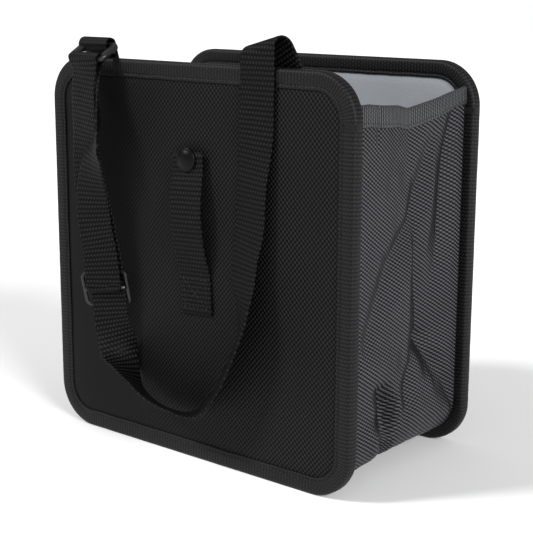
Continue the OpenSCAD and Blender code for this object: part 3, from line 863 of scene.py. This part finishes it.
def makeRingTab():
    # doubled webbing round the ring's upper bar and down inside the panel: y and height of its middle
    x, r = strap["tabX"], strap["tabR"]
    middleY, middleZ = strap["axisY"] - strap["tabShift"], strap["axisZ"] + strap["tabShift"]
    line = [(5.45, 222), (5.45, 236), (5.4, 247), (4.0, 251.5)]
    for a in (-75, -110, -150, 170, 130, 90, 55, 25):
        line.append((middleY + r * math.cos(math.radians(a)), middleZ + r * math.sin(math.radians(a))))
    line += [(5.6, 252), (6.9, 247), (6.95, 236), (6.95, 222)]
    frames = [(Vector((x, y, z)), Vector((-1, 0, 0)), Vector((0, 1, 0))) for y, z in splineThrough(line, 3)]
    piece, length = sweepWeb("ringTab", squareToWay(frames), "front_panel", thick=strap["tabThick"])
    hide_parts("left_anchor_tab")


makeStrap()
makeReturnLeg()
makeSliderLoop()
makeRingTab()


def boxRows(centre, side, up, size):
    # a square of stitching with its two diagonals
    corners = [centre + side * u * size / 2 + up * v * size / 2 for u, v in ((-1, -1), (1, -1), (1, 1), (-1, 1))]
    rows = []
    for a, b in ((0, 1), (1, 2), (2, 3), (3, 0), (0, 2), (1, 3)):
        rows.append([(corners[a] + (corners[b] - corners[a]) * k / 6) * mm for k in range(7)])
    return rows


anchorRows = boxRows(Vector((strap["leftX"], 7.65, 233)), Vector((1, 0, 0)), Vector((0, 0, 1)), 17)
for row in boxRows(Vector((0, 40, 0)), Vector((1, 0, 0)), Vector((0, 1, 0)), 17):
    anchorRows.append([rolledOver(p.x / mm, p.y / mm, 0.8) * mm for p in row])
anchorStitches = sewRows("anchorStitches", anchorRows, blackThread, "front_panel")
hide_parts("anchor_stitches")


# belt loop with its snapped flap, in mm and degrees
loop = dict(x=4.0, z=122.0, lean=3.0, foot=26.0, footOut=1.1, snap=70.5, flat=62.7, tip=4.5, rise=3.4, bow=5.0,
            faceY=-3.2, stitchBox=18)


def loopAxes():
    a = math.radians(loop["lean"])
    return Vector((math.cos(a), 0, math.sin(a))), Vector((-math.sin(a), 0, math.cos(a)))


def flapOut(h):
    # how far the flap's middle stands out at height h above its fold
    t = max(0.0, min(1.0, h / loop["flat"]))
    return loop["footOut"] + (loop["rise"] - loop["footOut"]) * t + loop["bow"] * math.sin(math.pi * t) ** 0.9


def makeLoop():
    side, up = loopAxes()
    base = Vector((loop["x"], loop["faceY"], loop["z"]))
    heights = [-loop["foot"] + 1.5 * k for k in range(int(loop["foot"] / 1.5))]
    heights += [0.0, 0.6, 1.5] + [3.0 * k for k in range(1, 21)]
    heights += [62.0, 64.0, 67.0, 70.0, 72.5, loop["snap"] + loop["tip"]]
    frames = []
    for h in heights:
        out = 0.9 + 0.5 * strap["thick"] + (0.15 if h < 0 else flapOut(h) - 0.95)
        frames.append((base + up * h - Vector((0, out, 0)), side, Vector((0, 1, 0))))
    piece, length = sweepWeb("beltLoop", squareToWay(frames), ruffle=0.3)
    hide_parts("loop_foot", "loop_flap")
    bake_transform(piece)
    rows = boxRows(base - up * loop["foot"] / 2 - Vector((0, 2.55, 0)), side, up, loop["stitchBox"])
    stitches = sewRows("loopStitches", rows, blackThread, "front_panel")
    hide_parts("loop_stitches")


def turnOnLathe(name, profile, centre, side, up, material, body):
    # profile of (radius, distance out) turned about the snap's axis
    out = Vector((0, -1, 0))
    count = 40
    verts, faces = [centre + out * profile[0][1]], []
    for r, d in profile[1:-1]:
        for k in range(count):
            a = 2 * math.pi * k / count
            verts.append(centre + side * r * math.cos(a) + up * r * math.sin(a) + out * d)
    verts.append(centre + out * profile[-1][1])
    rings = len(profile) - 2
    for k in range(count):
        faces.append((0, 1 + (k + 1) % count, 1 + k))
        for i in range(rings - 1):
            a, b = 1 + i * count + k, 1 + i * count + (k + 1) % count
            faces.append((a, b, b + count, a + count))
        faces.append((1 + (rings - 1) * count + k, 1 + (rings - 1) * count + (k + 1) % count, len(verts) - 1))
    piece = addPiece(name, [v * mm for v in verts], faces, material, body)
    fixNormals(piece)
    return piece


def makeSnap():
    side, up = loopAxes()
    centre = Vector((loop["x"], loop["faceY"], loop["z"])) + up * loop["snap"]
    outer = loop["rise"] + strap["thick"] + 0.15
    cap = [(0, outer - 0.2), (5.0, outer - 0.2), (7.1, outer - 0.1), (7.5, outer + 0.25), (7.45, outer + 0.7),
           (7.1, outer + 1.1), (6.5, outer + 1.3), (6.2, outer + 1.25), (5.9, outer + 1.35), (5.0, outer + 2.0),
           (3.8, outer + 2.5), (2.4, outer + 2.85), (1.0, outer + 3.0), (0, outer + 3.02)]
    piece = turnOnLathe("snapCap", cap, centre, side, up, snapLacquer, "flap")
    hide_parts("snap_cap")


makeLoop()
makeSnap()
print("webbing ready")


# mouldings
def roundedBar(points, normal, halfWide, halfThick):
    # a closed bar of rounded rectangular section along the points
    section = []
    for k in range(16):
        c, s = math.cos(2 * math.pi * k / 16), math.sin(2 * math.pi * k / 16)
        section.append((math.copysign(abs(c) ** 0.55, c), halfThick * math.copysign(abs(s) ** 0.55, s)))
    verts = []
    count = len(points)
    for i, p in enumerate(points):
        across = normal.cross((points[(i + 1) % count] - points[i - 1]).normalized()).normalized()
        verts += [p + across * u * halfWide[i] + normal * v for u, v in section]
    return verts, gridFaces(count, 16, True, True)


def roundedFrame(centre, across, along, halfX, halfY, r):
    # points round a rounded rectangle
    points = []
    for cx, cy, start in ((1, 1, 0), (-1, 1, 90), (-1, -1, 180), (1, -1, 270)):
        for k in range(9):
            a = math.radians(start + 90 * k / 8)
            u, v = cx * (halfX - r) + r * math.cos(a), cy * (halfY - r) + r * math.sin(a)
            points.append(centre + across * u + along * v)
    return points


ring = dict(lean=30, shiftX=3.4, shift=0.3, halfX=14.0, halfY=8.2, corner=4.2, barWide=1.7, sideWide=1.1, thick=1.8)


def makeRing():
    lean = math.radians(ring["lean"])
    down = Vector((0, -math.cos(lean), -math.sin(lean)))
    face = Vector((0, -math.sin(lean), math.cos(lean)))
    top = Vector((strap["tabX"] + ring["shiftX"], strap["axisY"] - ring["shift"], strap["axisZ"] + ring["shift"]))
    centre = top + down * ring["halfY"]
    points = roundedFrame(centre, Vector((1, 0, 0)), down, ring["halfX"], ring["halfY"], ring["corner"])
    wide = [ring["barWide"] + ring["sideWide"] * smoothStep((abs(p.x - centre.x) - 11) / 3) for p in points]
    verts, faces = roundedBar(points, face, wide, ring["thick"])
    piece = addPiece("strapRing", [v * mm for v in verts], faces, acetal, "strap")
    fixNormals(piece)
    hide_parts("strap_ring")


def makeSlider():
    # a moulded frame with a bar across its middle
    way = slideWay()
    a = math.radians(slider["turn"])
    side = Vector((math.cos(a), math.sin(a), 0))
    side = (side - way * side.dot(way)).normalized()
    out = way.cross(side).normalized()
    out = out if out.y < 0 else -out
    centre = Vector(strap["sliderAt"])
    points = roundedFrame(centre, side, way, slider["halfX"], slider["halfY"], slider["corner"])
    # the lower half is bent back, so that the running strap lies over its bar
    points = [p - out * slider["bend"] * max(0.0, (p - centre).dot(way)) for p in points]
    verts, faces = roundedBar(points, out, [slider["rimHalf"]] * len(points), slider["rimThick"])
    first = len(verts)
    for u in (-14.8, -8, 0, 8, 14.8):
        for k in range(16):
            c, s = math.cos(2 * math.pi * k / 16), math.sin(2 * math.pi * k / 16)
            verts.append(centre + side * u + way * slider["barHalf"] * c + out * slider["barThick"] * s)
    faces += [tuple(first + i for i in f) for f in gridFaces(5, 16, False, True)]
    faces += [tuple(first + k for k in range(16)), tuple(first + 64 + k for k in reversed(range(16)))]
    piece = addPiece("strapSlider", [v * mm for v in verts], faces, acetal, "slider")
    fixNormals(piece)
    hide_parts("strap_slider")


makeSlider()
makeRing()
# solids that keep their own shape
kept = dict(front_board=boardFoam, rear_board=boardFoam, snap_stud=snapLacquer, snap_socket=snapLacquer,
            stud_washer=washerSteel)
for node, material in kept.items():
    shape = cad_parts[node]
    shape.data.materials.clear()
    shape.data.materials.append(material)
print("hardware ready")


# floor and light
studio = dict(floor="#ffffff", ambient=0.36, keyPower=2.25, keySize=12, keyPlace=(-0.9, -1.0, 1.4),
              sidePower=3.1, sideSize=24, sidePlace=(1.5, -0.45, 0.85))


def makeStudio():
    mesh = bpy.data.meshes.new("paleFloor")
    mesh.from_pydata([(-6, -6, 0), (6, -6, 0), (6, 6, 0), (-6, 6, 0)], [], [(0, 1, 2, 3)])
    floor = bpy.data.objects.new("paleFloor", mesh)
    bpy.context.collection.objects.link(floor)
    material, tree, surface = startMaterial("paleFloor", **{
        "Roughness": 0.9, "Base Color": hexLinear(studio["floor"]), "Specular IOR Level": 0.1})
    mesh.materials.append(material)
    world = bpy.data.worlds.new("softStudio")
    world.use_nodes = True
    tree = world.node_tree
    tree.nodes.clear()
    # a white backdrop for the camera, a dimmer one for everything it lights
    seen = addNode(tree, "ShaderNodeLightPath").outputs["Is Camera Ray"]
    glow = addNode(tree, "ShaderNodeMapRange", {"Value": seen, "To Min": studio["ambient"], "To Max": 1.0}).outputs[0]
    backdrop = addNode(tree, "ShaderNodeBackground", {"Color": (1, 1, 1, 1), "Strength": glow})
    addNode(tree, "ShaderNodeOutputWorld", {"Surface": backdrop.outputs[0]})
    bpy.context.scene.world = world
    for name in ("key", "side"):
        data = bpy.data.lights.new(name + "Light", "SUN")
        data.energy = studio[name + "Power"]
        data.angle = math.radians(studio[name + "Size"])
        place = studio[name + "Place"]
        light = bpy.data.objects.new(name + "Light", data)
        light.location = place
        light.rotation_mode = "QUATERNION"
        light.rotation_quaternion = (Vector((0, 0.05, 0.12)) - Vector(place)).to_track_quat("-Z", "Y")
        bpy.context.collection.objects.link(light)


makeStudio()
bpy.context.scene.view_settings.view_transform = "Standard"
print("studio ready")
